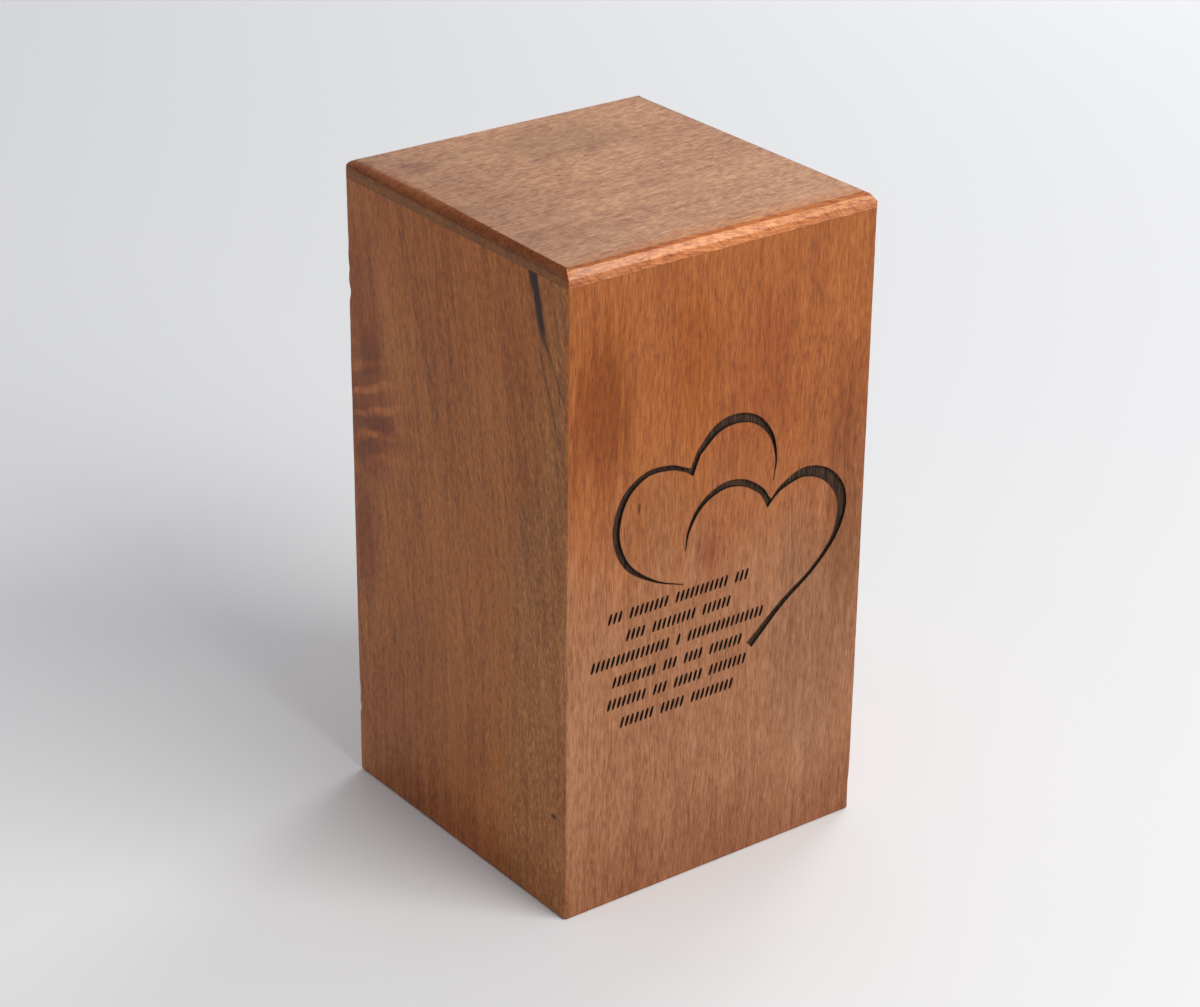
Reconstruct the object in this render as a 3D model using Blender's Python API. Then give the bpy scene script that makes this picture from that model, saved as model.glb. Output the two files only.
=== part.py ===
"""Tower-shaped wooden urn box with a lift-off lid and an engraved front.

Units are metres and +Z is up. The origin is at the centre of the underside, and the
engraved front faces -Y. Four mitred walls stand on the ground, a base board is let into
a groove around their inside, and the lid rests on them with a tongue between them.
"""
import math

import bmesh
import bpy
from mathutils import Vector

# Box, outside
WIDTH = 0.140
DEPTH = 0.140
WALL_HEIGHT = 0.254

# Walls and base
WALL_THICKNESS = 0.012
FOOT_EASE = 0.001
BASE_THICKNESS = 0.009
BASE_RECESS = 0.003
GROOVE_DEPTH = 0.004

# Lid: the height of its edge and of the upright strip below the round-over, and how far in each
# side's round-over reaches. The left one is a wedge.
LID_EDGE = 0.007
LID_STRIP = 0.003
FRONT_TURN = 0.0018
RIGHT_TURN = 0.0047
BACK_TURN = 0.0026
LEFT_TURN_AT_BACK = 0.0062
LEFT_TURN_IN_FRONT = 0.0010
LID_ROUND_STEPS = 8
TONGUE_DEPTH = 0.005
TONGUE_CLEARANCE = 0.0005

# Gap left between pieces that touch
CONTACT_GAP = 0.0003

# Engraving: its place on the front, and its depths
ENGRAVING_LEFT_MARGIN = 0.011
ENGRAVING_RIGHT_MARGIN = 0.009
ENGRAVING_DROP = 0.0656
HEART_DEPTH = 0.0012
STROKE_DEPTH = 0.0006
CUTTER_OVERSHOOT = 0.001

# Hearts, as (across, up, groove width) in hundredths of the engraving's width. Each is one
# tapering groove from its first tip, over the left lobe, round the cusp and over the right
# lobe. A cusp is a pair of corners, (across, up), one outside the heart and one inside.
LEFT_HEART_FIRST_LOBE = (
    (35.0, 42.4, 0.15),
    (24.0, 46.8, 0.6),
    (13.4, 54.8, 1.9),
    (9.1, 66.0, 2.5),
    (12.0, 77.3, 2.4),
    (20.1, 83.3, 1.7),
    (29.3, 83.2, 1.5),
    (35.4, 80.9, 1.2),
)
LEFT_HEART_CUSP = ((37.1, 80.9), (38.0, 78.2))
LEFT_HEART_SECOND_LOBE = (
    (40.0, 85.2, 2.0),
    (46.9, 91.4, 3.0),
    (54.6, 92.9, 3.1),
    (62.5, 90.4, 2.5),
    (68.4, 83.9, 1.5),
    (70.6, 75.5, 0.6),
    (69.8, 68.4, 0.15),
)
RIGHT_HEART_FIRST_LOBE = (
    (35.7, 53.6, 0.15),
    (37.0, 60.5, 0.9),
    (41.7, 67.6, 1.6),
    (49.6, 71.4, 2.1),
    (57.7, 70.6, 2.2),
    (64.8, 66.1, 2.0),
    (67.5, 62.3, 2.0),
)
RIGHT_HEART_CUSP = ((69.2, 61.9), (67.8, 59.4))
RIGHT_HEART_SECOND_LOBE = (
    (70.2, 62.5, 0.8),
    (73.9, 65.2, 1.7),
    (82.0, 67.6, 3.1),
    (90.8, 64.8, 3.9),
    (97.1, 57.8, 4.0),
    (98.3, 49.8, 3.3),
    (95.0, 40.8, 1.8),
    (86.6, 32.1, 1.4),
    (75.0, 24.2, 1.8),
    (62.3, 13.2, 2.8),
)
HEART_STEPS = 4
HEARTS_TOP = 94.6

# Inscription: rows of slanted strokes, in the same hundredths, from the top row down. A row is
# the number of strokes in each of its groups.
ROWS = (
    (3, 8, 11, 3),
    (4, 9, 6),
    (16, 1, 16),
    (9, 3, 4, 7),
    (8, 3, 6, 8),
    (7, 5, 9),
)
ROW_CENTRE = 33.8
ROW_PITCH = 7.4
STROKE_PITCH = 1.9
GROUP_GAP = 1.3
STROKE_WIDTH = 0.72
STROKE_HEIGHT = 3.4
STROKE_SLANT = 0.30


def clear_scene():
    for item in list(bpy.data.objects):
        bpy.data.objects.remove(item, do_unlink=True)


def make_material(name, colour, roughness):
    material = bpy.data.materials.new(name)
    material.use_nodes = True
    shader = material.node_tree.nodes["Principled BSDF"]
    shader.inputs["Base Color"].default_value = (*colour, 1.0)
    shader.inputs["Roughness"].default_value = roughness
    shader.inputs["Metallic"].default_value = 0.0
    material.diffuse_color = (*colour, 1.0)
    return material


def make_object(name, bm, material=None):
    bmesh.ops.recalc_face_normals(bm, faces=bm.faces)
    mesh = bpy.data.meshes.new(name)
    bm.to_mesh(mesh)
    bm.free()
    if material:
        mesh.materials.append(material)
    item = bpy.data.objects.new(name, mesh)
    bpy.context.scene.collection.objects.link(item)
    return item


def skin(bm, rings):
    """Joins rings of equally many points with quads and closes both ends."""
    loops = [[bm.verts.new(point) for point in ring] for ring in rings]
    for lower, upper in zip(loops, loops[1:]):
        for i, vert in enumerate(lower):
            after = (i + 1) % len(lower)
            bm.faces.new((vert, lower[after], upper[after], upper[i]))
    bm.faces.new(reversed(loops[0]))
    bm.faces.new(loops[-1])


def rectangle(half_width, half_depth, height):
    return [
        Vector((-half_width, -half_depth, height)),
        Vector((half_width, -half_depth, height)),
        Vector((half_width, half_depth, height)),
        Vector((-half_width, half_depth, height)),
    ]


def groove_span():
    """Heights of the lower and upper side of the groove that holds the base board."""
    return BASE_RECESS, BASE_RECESS + BASE_THICKNESS + 2 * CONTACT_GAP


def wall_profile():
    """A wall's section, as (distance in from its outer face, height)."""
    groove_low, groove_high = groove_span()
    groove_face = WALL_THICKNESS - GROOVE_DEPTH
    top = WALL_HEIGHT - CONTACT_GAP
    return [
        (FOOT_EASE, 0.0),
        (WALL_THICKNESS, 0.0),
        (WALL_THICKNESS, groove_low),
        (groove_face, groove_low),
        (groove_face, groove_high),
        (WALL_THICKNESS, groove_high),
        (WALL_THICKNESS, top),
        (0.0, top),
        (0.0, FOOT_EASE),
    ]


def make_wall(name, length, place, turn, material):
    """A board whose ends are mitred at 45 degrees, with its outer face through place."""
    setback = CONTACT_GAP / 2 * math.sqrt(2)
    ends = []
    for side in (-1, 1):
        ends.append([Vector((side * (length / 2 - inward - setback), inward, height))
                     for inward, height in wall_profile()])
    bm = bmesh.new()
    skin(bm, ends)
    wall = make_object(name, bm, material)
    wall.location = place
    wall.rotation_euler = (0.0, 0.0, math.radians(turn))
    return wall


def make_base(material):
    groove_low, groove_high = groove_span()
    reach = WALL_THICKNESS - GROOVE_DEPTH + CONTACT_GAP
    half_width = WIDTH / 2 - reach
    half_depth = DEPTH / 2 - reach
    bm = bmesh.new()
    skin(bm, [
        rectangle(half_width, half_depth, groove_low + CONTACT_GAP),
        rectangle(half_width, half_depth, groove_high - CONTACT_GAP),
    ])
    return make_object("base_board", bm, material)


def lid_outline(share, height):
    """The lid's outline at a height, with each side turned in by a share of its full turn."""
    left_front = LEFT_TURN_IN_FRONT * share - WIDTH / 2
    left_back = LEFT_TURN_AT_BACK * share - WIDTH / 2
    right = WIDTH / 2 - RIGHT_TURN * share
    front = FRONT_TURN * share - DEPTH / 2
    back = DEPTH / 2 - BACK_TURN * share
    return [
        Vector((left_front, front, height)),
        Vector((right, front, height)),
        Vector((right, back, height)),
        Vector((left_back, back, height)),
    ]


def make_lid(material):
    """The lid's edge is flush with the walls and rounded over, narrowly in front."""
    tongue_inset = WALL_THICKNESS + TONGUE_CLEARANCE
    rings = [
        rectangle(WIDTH / 2 - tongue_inset, DEPTH / 2 - tongue_inset, WALL_HEIGHT - TONGUE_DEPTH),
        rectangle(WIDTH / 2 - tongue_inset, DEPTH / 2 - tongue_inset, WALL_HEIGHT),
        lid_outline(0.0, WALL_HEIGHT),
    ]
    for step in range(LID_ROUND_STEPS + 1):
        angle = math.pi / 2 * step / LID_ROUND_STEPS
        height = WALL_HEIGHT + LID_STRIP + (LID_EDGE - LID_STRIP) * math.sin(angle)
        rings.append(lid_outline(1 - math.cos(angle), height))
    bm = bmesh.new()
    skin(bm, rings)
    # The wedge on the left is twisted, so its faces are split into flat ones
    bmesh.ops.triangulate(bm, faces=bm.faces)
    return make_object("lid", bm, material)


def engraving_unit():
    """A hundredth of the engraving's width."""
    return (WIDTH - ENGRAVING_LEFT_MARGIN - ENGRAVING_RIGHT_MARGIN) / 100


def on_front(across, up):
    """Engraving hundredths to (x, z) on the front board's outer face."""
    unit = engraving_unit()
    left = ENGRAVING_LEFT_MARGIN - WIDTH / 2
    foot = WALL_HEIGHT - ENGRAVING_DROP - HEARTS_TOP * unit
    return left + across * unit, foot + up * unit


def smooth_curve(points, steps):
    """A smooth curve through the points, with their widths, as evenly stepped samples."""
    points = [Vector(point) for point in points]
    before = 2 * points[0] - points[1]
    after = 2 * points[-1] - points[-2]
    padded = [before, *points, after]
    samples = []
    for a, b, c, d in zip(padded, padded[1:], padded[2:], padded[3:]):
        for step in range(steps):
            t = step / steps
            samples.append(0.5 * (2 * b + (c - a) * t + (2 * a - 5 * b + 4 * c - d) * t * t
                                  + (3 * b - 3 * c + d - a) * t ** 3))
    samples.append(points[-1])
    return samples


def groove_sides(samples):
    """The left and the right side of a groove, going along it."""
    lefts, rights = [], []
    for i, sample in enumerate(samples):
        behind = samples[max(i - 1, 0)]
        ahead = samples[min(i + 1, len(samples) - 1)]
        along = Vector((ahead.x - behind.x, ahead.y - behind.y)).normalized()
        across = Vector((-along.y, along.x)) * sample.z / 2
        centre = Vector((sample.x, sample.y))
        lefts.append(centre + across)
        rights.append(centre - across)
    return lefts, rights


def heart_outline(first_lobe, cusp, second_lobe):
    """A closed outline around both lobes; a heart's outside is on its left, going along."""
    outer_corner, inner_corner = (Vector(corner) for corner in cusp)
    first_left, first_right = groove_sides(smooth_curve(first_lobe, HEART_STEPS))
    second_left, second_right = groove_sides(smooth_curve(second_lobe, HEART_STEPS))
    outside = [*first_left, outer_corner, *second_left]
    inside = [*first_right, inner_corner, *second_right]
    return outside + inside[::-1]


def stroke_outline(left, baseline):
    """A slanted bar, as four corners."""
    shift = STROKE_HEIGHT * STROKE_SLANT
    top = baseline + STROKE_HEIGHT
    return [
        Vector((left, baseline)),
        Vector((left + STROKE_WIDTH, baseline)),
        Vector((left + STROKE_WIDTH + shift, top)),
        Vector((left + shift, top)),
    ]


def row_outlines(groups, baseline):
    """Every stroke of one row, centred about the rows' common centre."""
    slots = sum(groups) + GROUP_GAP * (len(groups) - 1)
    left = ROW_CENTRE - slots * STROKE_PITCH / 2
    outlines = []
    for group in groups:
        for _ in range(group):
            outlines.append(stroke_outline(left, baseline))
            left += STROKE_PITCH
        left += GROUP_GAP * STROKE_PITCH
    return outlines


def add_cutting_prism(bm, outline, depth):
    """A prism over the outline, from just outside the front face to the depth."""
    rings = []
    for inward in (-CUTTER_OVERSHOOT, depth):
        ring = []
        for point in outline:
            x, z = on_front(point.x, point.y)
            ring.append(Vector((x, inward, z)))
        rings.append(ring)
    skin(bm, rings)


def engrave(board):
    bm = bmesh.new()
    for heart in (
        (LEFT_HEART_FIRST_LOBE, LEFT_HEART_CUSP, LEFT_HEART_SECOND_LOBE),
        (RIGHT_HEART_FIRST_LOBE, RIGHT_HEART_CUSP, RIGHT_HEART_SECOND_LOBE),
    ):
        add_cutting_prism(bm, heart_outline(*heart), HEART_DEPTH)
    for row, groups in enumerate(ROWS):
        baseline = ROW_PITCH * (len(ROWS) - 1 - row)
        for outline in row_outlines(groups, baseline):
            add_cutting_prism(bm, outline, STROKE_DEPTH)
    cutter = make_object("engraving_cutter", bm)
    cutter.parent = board
    cutter.hide_render = True
    cutter.display_type = "WIRE"
    cut = board.modifiers.new("engraving", "BOOLEAN")
    cut.operation = "DIFFERENCE"
    cut.solver = "EXACT"
    cut.object = cutter


def build():
    clear_scene()
    front_wood = make_material("front_wood", (0.40, 0.15, 0.065), 0.45)
    right_wood = make_material("right_wood", (0.35, 0.14, 0.065), 0.45)
    back_wood = make_material("back_wood", (0.33, 0.13, 0.06), 0.45)
    left_wood = make_material("left_wood", (0.33, 0.13, 0.06), 0.45)
    lid_wood = make_material("lid_wood", (0.44, 0.22, 0.12), 0.40)
    base_wood = make_material("base_wood", (0.36, 0.17, 0.09), 0.60)
    make_lid(lid_wood)
    make_base(base_wood)
    engrave(make_wall("front_board", WIDTH, (0.0, -DEPTH / 2, 0.0), 0, front_wood))
    make_wall("right_board", DEPTH, (WIDTH / 2, 0.0, 0.0), 90, right_wood)
    make_wall("back_board", WIDTH, (0.0, DEPTH / 2, 0.0), 180, back_wood)
    make_wall("left_board", DEPTH, (-WIDTH / 2, 0.0, 0.0), -90, left_wood)


build()
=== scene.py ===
"""Looks of the wooden urn box: worn boards, a burnt engraving, a routed lid, floor and light.

Lengths are metres in the frame's own axes, unless a name ends in MM or a comment says
millimetres. The engraved front faces -Y. A board's own axes are x along it, y inwards from its
outer face, and z up. Tints are screen values from 0 to 255, or more where they lighten.
"""
import math

import bmesh
import bpy
import numpy as np
from mathutils import Matrix, Vector, kdtree, noise
from mathutils.geometry import delaunay_2d_cdt


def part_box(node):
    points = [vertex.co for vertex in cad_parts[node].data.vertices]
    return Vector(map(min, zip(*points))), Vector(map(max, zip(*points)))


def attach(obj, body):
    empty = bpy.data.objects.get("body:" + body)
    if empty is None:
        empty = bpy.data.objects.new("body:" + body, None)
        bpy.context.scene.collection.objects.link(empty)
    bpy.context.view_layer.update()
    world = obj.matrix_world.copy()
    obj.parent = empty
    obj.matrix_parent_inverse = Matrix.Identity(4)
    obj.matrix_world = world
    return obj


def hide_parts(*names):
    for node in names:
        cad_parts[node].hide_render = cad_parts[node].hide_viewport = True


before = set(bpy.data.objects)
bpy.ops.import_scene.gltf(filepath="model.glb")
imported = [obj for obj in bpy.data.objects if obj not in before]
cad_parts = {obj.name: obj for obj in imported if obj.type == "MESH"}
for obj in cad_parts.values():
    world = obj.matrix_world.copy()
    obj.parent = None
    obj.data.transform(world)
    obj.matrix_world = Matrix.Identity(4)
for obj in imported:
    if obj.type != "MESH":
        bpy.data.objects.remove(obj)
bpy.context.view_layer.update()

LID_LOW, LID_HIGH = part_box("lid")
FRONT_LOW, FRONT_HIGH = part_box("front_board")
BASE_LOW, BASE_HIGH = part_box("base_board")

# Box, from the frame. CONTACT_GAP is what the solids leave between boards that touch, and JOINT
# is how far, at most, each of these meshes stays back from its neighbours.
WIDTH = LID_HIGH.x - LID_LOW.x
DEPTH = LID_HIGH.y - LID_LOW.y
TOP = LID_HIGH.z
CONTACT_GAP = 0.0003
WALL_HEIGHT = FRONT_HIGH.z + CONTACT_GAP
WALL_THICKNESS = FRONT_HIGH.y - FRONT_LOW.y
GROOVE_REACH = BASE_HIGH.x - (WIDTH / 2 - WALL_THICKNESS) + CONTACT_GAP
JOINT = 0.00004
MM = 0.001

# Arrises of the walls: how far they are eased, how much that varies, in waves and in ripples on
# each wave, and the nicks in them, as (corner, height, half length, extra radius). Corners count
# from front left, anticlockwise from above.
ARRIS_RADIUS = 0.0006
ARRIS_VARIATION = 0.45
ARRIS_WAVE = 0.021
ARRIS_RIPPLES = 6
ARRIS_ARC_STEPS = 4
FOOT_EASE = 0.001
FOOT_EASE_STEPS = 4
RING_PITCH = 0.0016
FRONT_LEFT, FRONT_RIGHT, BACK_RIGHT, BACK_LEFT = range(4)
ARRIS_NICKS = (
    (BACK_LEFT, 0.2290, 0.0035, 0.0005),
    (BACK_LEFT, 0.2180, 0.0020, 0.0008),
    (BACK_LEFT, 0.2085, 0.0028, 0.0016),
    (BACK_LEFT, 0.0365, 0.0040, 0.0008),
    (BACK_LEFT, 0.0290, 0.0016, 0.0012),
    (FRONT_RIGHT, 0.0085, 0.0060, 0.0014),
    (FRONT_LEFT, 0.0020, 0.0030, 0.0012),
    (BACK_RIGHT, 0.1400, 0.0040, 0.0014),
)

# Lumps of the wood's noises, in millimetres across, through and along the grain, and how much each
# noise moves the wood's tone, which runs from dark at 0.1 to light at 0.9
WARP_LUMPS = (45.0, 45.0, 120.0)
WARP_REACH = 9.0
CLOUD_LUMPS, CLOUD_SHARE = (26.0, 26.0, 120.0), 0.50
STREAK_LUMPS, STREAK_SHARE = (2.4, 2.4, 80.0), 0.40
FIBRE_WIDTH, FIBRE_SHARE = 0.66, 0.80
MOTTLE_LUMPS, MOTTLE_SHARE = (1.5, 1.5, 4.5), 0.45
PORE_CELLS = (0.72, 0.72, 6.0)
PORE_TINT = (165, 132, 112)
GRAIN_BUMP = 0.00012

# Soft tinted patches in the wood, and one of painted shade on the lid, in millimetres, as (centre,
# reach, tint, strength). A reach of 0 leaves that axis out. Lumps, in millimetres too, are those of
# a patch's ragged edge.
SOFT_LUMPS = (9.0, 9.0, 28.0)
STREAKY_LUMPS = (3.2, 3.2, 34.0)
SMUDGE_LUMPS = (9.0, 9.0, 4.0)
FRONT_PATCHES = (
    ((-28.0, 0.0, 160.0), (24.0, 0.0, 34.0), (240, 247, 254), 0.9),
    ((45.0, 0.0, 85.0), (30.0, 0.0, 70.0), (236, 238, 240), 0.9),
    ((20.0, 0.0, 205.0), (22.0, 0.0, 55.0), (238, 215, 190), 0.7),
    ((-4.0, 0.0, 136.0), (9.0, 0.0, 16.0), (228, 200, 185), 0.7),
    ((60.0, 0.0, 140.0), (14.0, 0.0, 90.0), (221, 206, 177), 0.9),
    ((0.0, 0.0, 0.0), (200.0, 0.0, 40.0), (232, 214, 200), 0.8),
)
FRONT_DARK_PATCHES = (
    ((-54.0, 0.0, 208.0), (21.0, 0.0, 46.0), (215, 192, 30), 1.0),
    ((-14.0, 0.0, 216.0), (18.0, 0.0, 44.0), (238, 219, 138), 0.9),
)
FRONT_MARK = (
    ((-37.8, 0.0, 162.5), (1.0, 0.0, 3.2), (110, 90, 90), 0.8),
)
LEFT_PATCHES = (
    ((-60.0, 0.0, 208.0), (18.0, 0.0, 40.0), (224, 198, 168), 0.8),
    ((-62.0, 0.0, 112.0), (13.0, 0.0, 40.0), (208, 180, 150), 0.8),
    ((0.0, 0.0, 6.0), (90.0, 0.0, 24.0), (230, 216, 188), 0.8),
    ((-20.0, 0.0, 50.0), (70.0, 0.0, 60.0), (238, 236, 234), 0.9),
    ((-10.0, 0.0, 240.0), (100.0, 0.0, 50.0), (257, 246, 228), 0.9),
)
LEFT_SPECKS = (
    ((-63.4, 0.0, 226.2), (0.7, 0.0, 1.6), (340, 345, 360), 0.8),
    ((-48.9, 0.0, 230.7), (0.6, 0.0, 1.2), (340, 345, 360), 0.8),
    ((62.6, 0.0, 42.0), (2.2, 0.0, 1.6), (96, 84, 76), 0.9),
)
LID_PATCHES = (
    ((-54.0, 46.0, 0.0), (11.0, 8.0, 0.0), (205, 185, 172), 0.8),
    ((5.0, 40.0, 0.0), (45.0, 26.0, 0.0), (221, 222, 213), 0.8),
)
# Along the lid's front edge an orange cast; over its left part a grey darkening that is painted shade
LID_EDGE_CAST_AND_SHADE = (
    ((0.0, -68.0, 0.0), (140.0, 9.0, 0.0), (258, 230, 192), 0.8),
    ((-74.0, 0.0, 0.0), (62.0, 0.0, 0.0), (228, 228, 228), 0.9),
)

# Heights between which the front turns orange, in millimetres, how unevenly it starts, and its
# tint
FRONT_ORANGE = (105.0, 185.0)
FRONT_ORANGE_WAVE = 70.0
FRONT_ORANGE_TINT = (256, 219, 150)

# Curl on the left wall, in millimetres: its middle and reach, its bands' rise along x, their
# spacing, how they waver, the height at x = 0 of one light band, the tints of the dark and the
# light bands, and smudges, as the patches are
CURL_CENTRE = (-60.0, 0.0, 163.0)
CURL_REACH = 36.0
CURL_RISE = 0.38
CURL_SPACING = 10.4
CURL_WAVER = 14.0
CURL_LIGHT_BAND = 184.6
CURL_DARK_TINT = (200, 168, 136)
CURL_LIGHT_TINT = (282, 268, 254)
CURL_SMUDGES = (
    ((-54.0, 0.0, 188.0), (12.0, 0.0, 17.0), (204, 173, 140), 0.75),
    ((-50.0, 0.0, 160.0), (22.0, 0.0, 9.0), (204, 173, 140), 0.75),
    ((-60.0, 0.0, 146.0), (16.0, 0.0, 12.0), (204, 173, 140), 0.75),
)

# Where the sapwood on the left wall starts, in millimetres along x, between which heights its
# edge passes from the first to the second, how far the edge strays, and its speckles' tints
SAPWOOD_EDGE = (32.0, 56.0)
SAPWOOD_EDGE_HEIGHTS = (125.0, 195.0)
SAPWOOD_STRAY = 22.0
SAPWOOD_DARK_TINT = (210, 223, 246)
SAPWOOD_LIGHT_TINT = (260, 280, 318)

# Dark veins on the left wall, as (x, z) of the top and of the foot, half width and strength, in
# millimetres
RESIN_TINT = (52, 30, 21)
RESIN_VEINS = (
    ((48.8, 256.5), (58.0, 222.0), 2.8, 1.0),
    ((55.8, 232.0), (71.0, 205.0), 1.1, 0.50),
    ((53.0, 228.0), (69.0, 182.0), 1.1, 0.45),
)

# Tints of the lid: its ripples, its right side, its left side above the strip, on the strip and
# along the line between them, and in front the painted highlight on its bevel, and its strip,
# slanting grain and quirk
LID_RIPPLE_TINT = (190, 165, 150)
LID_RIGHT_TINT = (216, 196, 176)
LID_LEFT_TINT = (216, 166, 106)
LID_LEFT_STRIP_TINT = (214, 178, 88)
LID_LEFT_LINE_TINT = (180, 160, 150)
LID_BEVEL_HIGHLIGHT_TINT = (268, 262, 262)
LID_STRIP_TINT = (238, 224, 206)
LID_SLANT_TINT = (178, 142, 118)
LID_QUIRK_TINT = (214, 194, 172)

# Engraving, as the solids have it
ENGRAVING_LEFT_MARGIN = 0.011
ENGRAVING_RIGHT_MARGIN = 0.009
ENGRAVING_DROP = 0.0656
HEART_DEPTH = 0.0012
STROKE_DEPTH = 0.0006

# Hearts, as (across, up, groove width) in hundredths of the engraving's width. Each is one
# tapering groove from its first tip, over the left lobe, round the cusp and over the right
# lobe. A cusp is a pair of corners, (across, up), one outside the heart and one inside.
LEFT_HEART_FIRST_LOBE = (
    (35.0, 42.4, 0.15),
    (24.0, 46.8, 0.6),
    (13.4, 54.8, 1.9),
    (9.1, 66.0, 2.5),
    (12.0, 77.3, 2.4),
    (20.1, 83.3, 1.7),
    (29.3, 83.2, 1.5),
    (35.4, 80.9, 1.2),
)
LEFT_HEART_CUSP = ((37.1, 80.9), (38.0, 78.2))
LEFT_HEART_SECOND_LOBE = (
    (40.0, 85.2, 2.0),
    (46.9, 91.4, 3.0),
    (54.6, 92.9, 3.1),
    (62.5, 90.4, 2.5),
    (68.4, 83.9, 1.5),
    (70.6, 75.5, 0.6),
    (69.8, 68.4, 0.15),
)
RIGHT_HEART_FIRST_LOBE = (
    (35.7, 53.6, 0.15),
    (37.0, 60.5, 0.9),
    (41.7, 67.6, 1.6),
    (49.6, 71.4, 2.1),
    (57.7, 70.6, 2.2),
    (64.8, 66.1, 2.0),
    (67.5, 62.3, 2.0),
)
RIGHT_HEART_CUSP = ((69.2, 61.9), (67.8, 59.4))
RIGHT_HEART_SECOND_LOBE = (
    (70.2, 62.5, 0.8),
    (73.9, 65.2, 1.7),
    (82.0, 67.6, 3.1),
    (90.8, 64.8, 3.9),
    (97.1, 57.8, 4.0),
    (98.3, 49.8, 3.3),
    (95.0, 40.8, 1.8),
    (86.6, 32.1, 1.4),
    (75.0, 24.2, 1.8),
    (62.3, 13.2, 2.8),
)
HEART_STEPS = 12
HEARTS_TOP = 94.6

# Inscription: rows of slanted strokes, in the same hundredths, from the top row down. A row is
# the number of strokes in each of its groups.
ROWS = (
    (3, 8, 11, 3),
    (4, 9, 6),
    (16, 1, 16),
    (9, 3, 4, 7),
    (8, 3, 6, 8),
    (7, 5, 9),
)
ROW_CENTRE = 33.8
ROW_PITCH = 7.4
STROKE_PITCH = 1.9
GROUP_GAP = 1.3
STROKE_WIDTH = 0.72
STROKE_HEIGHT = 3.4
STROKE_SLANT = 0.30
STROKE_SAMPLES = 7
STROKE_END = 0.75
STROKE_SWELL = 0.45

# Groove walls, the scorched rim around each groove, as distances and how burnt it is there, and
# how brown the hearts' floors are, with the colours of char and of the floors' dark and light
# grain
WALL_RUN_MM = 0.14
WALL_FOOT_MM = WALL_RUN_MM * 0.8
EDGE_MM = 0.02
RIM_MM = (0.10, 0.24, 0.44)
RIM_SCORCH = (0.50, 0.16, 0.0)
HEART_FLOOR_BROWN = 0.85
CHAR = (16, 9, 6)
DARK_BROWN = (38, 25, 17)
LIGHT_BROWN = (84, 60, 44)
OUTLINE_PITCH_MM = 0.45
DISTANCE_PITCH_MM = 0.12

# Meshes: points this close are joined, and edges sharper than this stay sharp
WELD = 2e-6
SHARP_DEG = 38

# Lid: an upright strip, then a round-over, which a steep step, the quirk, sets off from the flat
# top. TURN is how far in the flat top starts. BEVEL is 0 for a quarter round and 1 for a straight
# bevel. Pairs are values at a side's start and end, going anticlockwise from above.
LID_SIDE_STEPS = 48
LID_ROUND_STEPS = 12
LID_CORNER_RADIUS = 0.0005
LID_CORNER_STEPS = 4
QUIRK_BATTER = 0.00025
FRONT_TURN = 0.0018
FRONT_QUIRK = (0.0012, 0.0019)
FRONT_BEVEL = 0.9
RIGHT_TURN = 0.0052
RIGHT_STRIP = 0.0012
RIGHT_BEVEL = 0.3
BACK_TURN = 0.0026
LEFT_TURN = (0.0062, 0.0010)
LEFT_TURN_POWER = 1.4
LEFT_QUIRK = 0.00005
PLAIN_QUIRK = 0.0002
LID_STRIP = 0.0030
LEFT_STRIP = (0.0046, 0.0030)
LEFT_BEVEL = (0.05, 0.75)
TONGUE_INSET = WALL_THICKNESS + 0.0005
TONGUE_BOTTOM = LID_LOW.z

# Camera, for an image of 1200 x 1007 pixels
EYE = Vector((-0.66101, -0.87152, 0.64713))
HEADING_DEG = 37.069
LOOK_DOWN_DEG = 25.434
ROLL_DEG = 0.591
LENS_MM = 94.20
SENSOR_MM = 36.0
NEAREST_SEEN = 0.05

# Lights, as (name, place, aim, size, power in watts, colour)
LIGHTS = (
    ("key", (0.50, -1.60, 1.42), (0.0, 0.0, 0.10), (1.7, 1.1), 41.0, (1.0, 0.985, 0.96)),
    ("rear_glow", (1.25, 1.35, 1.45), (0.4, 0.4, 0.1), (1.6, 1.0), 3.0, (1.0, 1.0, 1.0)),
    ("far_glow", (2.2, 1.1, 1.2), (0.5, 1.3, 0.0), (1.2, 1.0), 19.0, (1.0, 1.0, 1.0)),
)

# Pale surrounding: its strength grows from the first to the second value towards its bright side
WORLD_COLOUR = (0.96, 0.97, 1.0, 1.0)
WORLD_BRIGHT_SIDE = (0.80, -0.10, 0.60)
WORLD_SPAN = 0.9
WORLD_STRENGTH = (0.21, 0.45)

FLOOR_SIZE = 12.0
FLOOR_TINT = (234, 235, 237)
FLOOR_ROUGHNESS = 0.75


def srgb(red, green, blue):
    """A colour as seen on screen, 0 to 255, as the linear colour a shader takes."""
    linear = []
    for value in (red, green, blue):
        share = value / 255
        linear.append(share / 12.92 if share <= 0.04045 else ((share + 0.055) / 1.055) ** 2.4)
    return (*linear, 1.0)


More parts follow.
